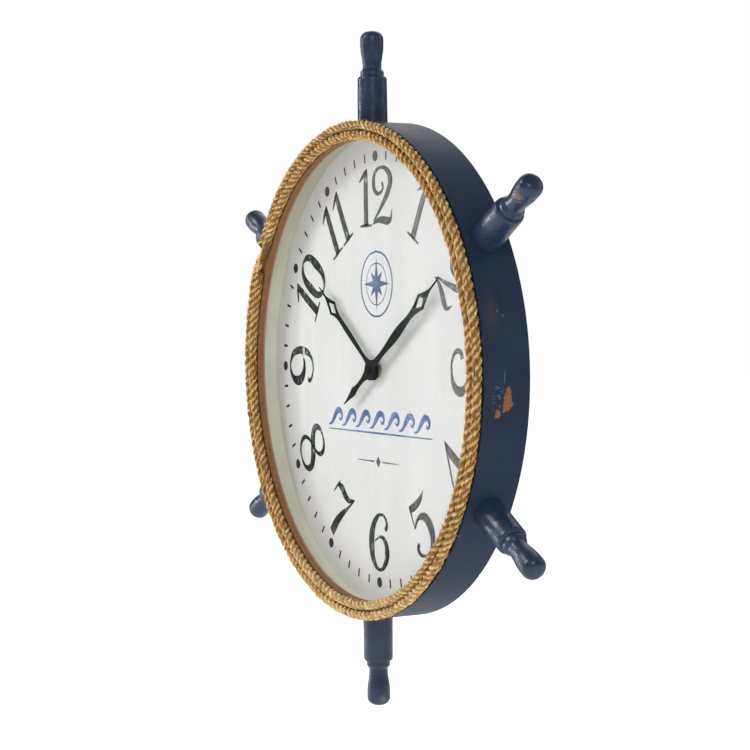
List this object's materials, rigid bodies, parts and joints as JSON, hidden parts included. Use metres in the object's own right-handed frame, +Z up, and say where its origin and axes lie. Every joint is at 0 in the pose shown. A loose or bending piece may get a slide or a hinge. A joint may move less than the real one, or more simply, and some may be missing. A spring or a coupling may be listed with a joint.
{
  "type": "ship wheel wall clock",
  "caption": "Wall clock in the shape of a ship's wheel: round blue case with turned handles, rope rim, deep glazed well, black hands and a quartz movement.",
  "frame": {"origin": "on the axis of the hands, midway between the rope's front and the rear rim that meets the wall", "axes": "+Z up towards 12 o'clock, +X towards 3 o'clock, +Y back towards the wall; the dial faces -Y"},
  "size_m": [0.5332, 0.0534, 0.61],
  "materials": {
    "navy_paint": "satin painted wood, worn through in spots",
    "jute": "hairy twisted jute rope",
    "brown_wood": "dark brown stain, satin",
    "pane": "clear float glass",
    "cream_board": "cream paint, matt",
    "dial_paper": "matt print, mottled off-white",
    "fibreboard": "raw brown fibreboard",
    "bare_wood": "planed softwood",
    "zinc_steel": "zinc plated",
    "spring_steel": "nickel plated",
    "soft_iron": "stamped",
    "brass": "turned",
    "black_rubber": "matt",
    "black_plastic": "fine spark texture",
    "white_plastic": "moulded, smooth",
    "black_metal": "satin black paint on thin aluminium",
    "copper_winding": "enamelled wire",
    "board_green": "solder mask",
    "can_aluminium": "drawn can",
    "battery_jacket": "shrunk sleeve"
  },
  "bodies": {
    "case": {"case_hoop": "navy_paint", "front_ring": "brown_wood", "rim_rope": "jute", "glass": "pane", "spacer_ring": "cream_board", "dial_print": "dial_paper", "dial_board": "fibreboard", "handle_12_oclock": "navy_paint", "handle_2_oclock": "navy_paint", "handle_4_oclock": "navy_paint", "handle_6_oclock": "navy_paint", "handle_8_oclock": "navy_paint", "handle_10_oclock": "navy_paint", "handle_screws": "zinc_steel", "board_clips": "zinc_steel", "clip_screws": "zinc_steel", "hanger_block": "bare_wood", "hanger_plate": "zinc_steel", "hanger_screws": "zinc_steel", "movement_case": "black_plastic", "movement_cover": "black_plastic", "shaft_bushing": "brass", "dial_gasket": "black_rubber", "dial_washer": "brass", "bushing_nut": "brass", "contact_positive": "spring_steel", "contact_negative": "spring_steel", "motor_stator": "soft_iron", "motor_coil": "copper_winding", "circuit_board": "board_green", "crystal_can": "can_aluminium"},
    "minute_group": {"minute_hand": "black_metal", "minute_hand_collet": "black_metal", "hand_tip_nut": "black_metal", "minute_arbor": "brass"},
    "hour_group": {"hour_hand": "black_metal", "hour_hand_collet": "black_metal", "hour_wheel": "white_plastic"},
    "minute_wheel_body": {"minute_wheel": "white_plastic"},
    "knob_body": {"setting_knob": "white_plastic"},
    "centre_body": {"centre_wheel": "white_plastic"},
    "third_body": {"third_wheel": "white_plastic"},
    "fourth_body": {"fourth_wheel": "white_plastic"},
    "first_body": {"first_wheel": "white_plastic"},
    "rotor_body": {"rotor": "white_plastic"},
    "battery_body": {"battery": "battery_jacket"}
  },
  "joints": [
    {"name": "minute_hand_turn", "type": "hinge", "parent": "case", "child": "minute_group", "pos_m": [0, 0, 0], "axis": [0, 1, 0], "continuous": true},
    {"name": "hour_hand_turn", "type": "hinge", "parent": "case", "child": "hour_group", "pos_m": [0, 0, 0], "axis": [0, 1, 0], "continuous": true},
    {"name": "minute_wheel_turn", "type": "hinge", "parent": "case", "child": "minute_wheel_body", "pos_m": [-0.00849, 0, 0.00849], "axis": [0, 1, 0], "continuous": true},
    {"name": "setting_knob_turn", "type": "hinge", "parent": "case", "child": "knob_body", "pos_m": [-0.00499, 0, 0.02153], "axis": [0, 1, 0], "continuous": true},
    {"name": "rotor_turn", "type": "hinge", "parent": "case", "child": "rotor_body", "pos_m": [0.01965, 0, 0.00728], "axis": [0, 1, 0], "continuous": true},
    {"name": "first_wheel_turn", "type": "hinge", "parent": "case", "child": "first_body", "pos_m": [0.01777, 0, 0.0143], "axis": [0, 1, 0], "continuous": true},
    {"name": "fourth_wheel_turn", "type": "hinge", "parent": "case", "child": "fourth_body", "pos_m": [0.00922, 0, 0.01279], "axis": [0, 1, 0], "continuous": true},
    {"name": "third_wheel_turn", "type": "hinge", "parent": "case", "child": "third_body", "pos_m": [0.01079, 0, 0.00393], "axis": [0, 1, 0], "continuous": true},
    {"name": "centre_wheel_turn", "type": "hinge", "parent": "case", "child": "centre_body", "pos_m": [0, 0, 0], "axis": [0, 1, 0], "continuous": true},
    {"name": "battery_out", "type": "slide", "parent": "case", "child": "battery_body", "axis": [0, 1, 0], "range_m": [0, 0.03]}
  ],
  "couplings": [
    {"joint": "hour_hand_turn", "follows": "minute_hand_turn", "ratio": 0.083333},
    {"joint": "minute_wheel_turn", "follows": "minute_hand_turn", "ratio": -0.33333},
    {"joint": "setting_knob_turn", "follows": "minute_hand_turn", "ratio": 0.66667},
    {"joint": "first_wheel_turn", "follows": "rotor_turn", "ratio": -0.1},
    {"joint": "fourth_wheel_turn", "follows": "rotor_turn", "ratio": 0.016667},
    {"joint": "third_wheel_turn", "follows": "rotor_turn", "ratio": -0.0033333},
    {"joint": "centre_wheel_turn", "follows": "rotor_turn", "ratio": 0.00055556}
  ]
}
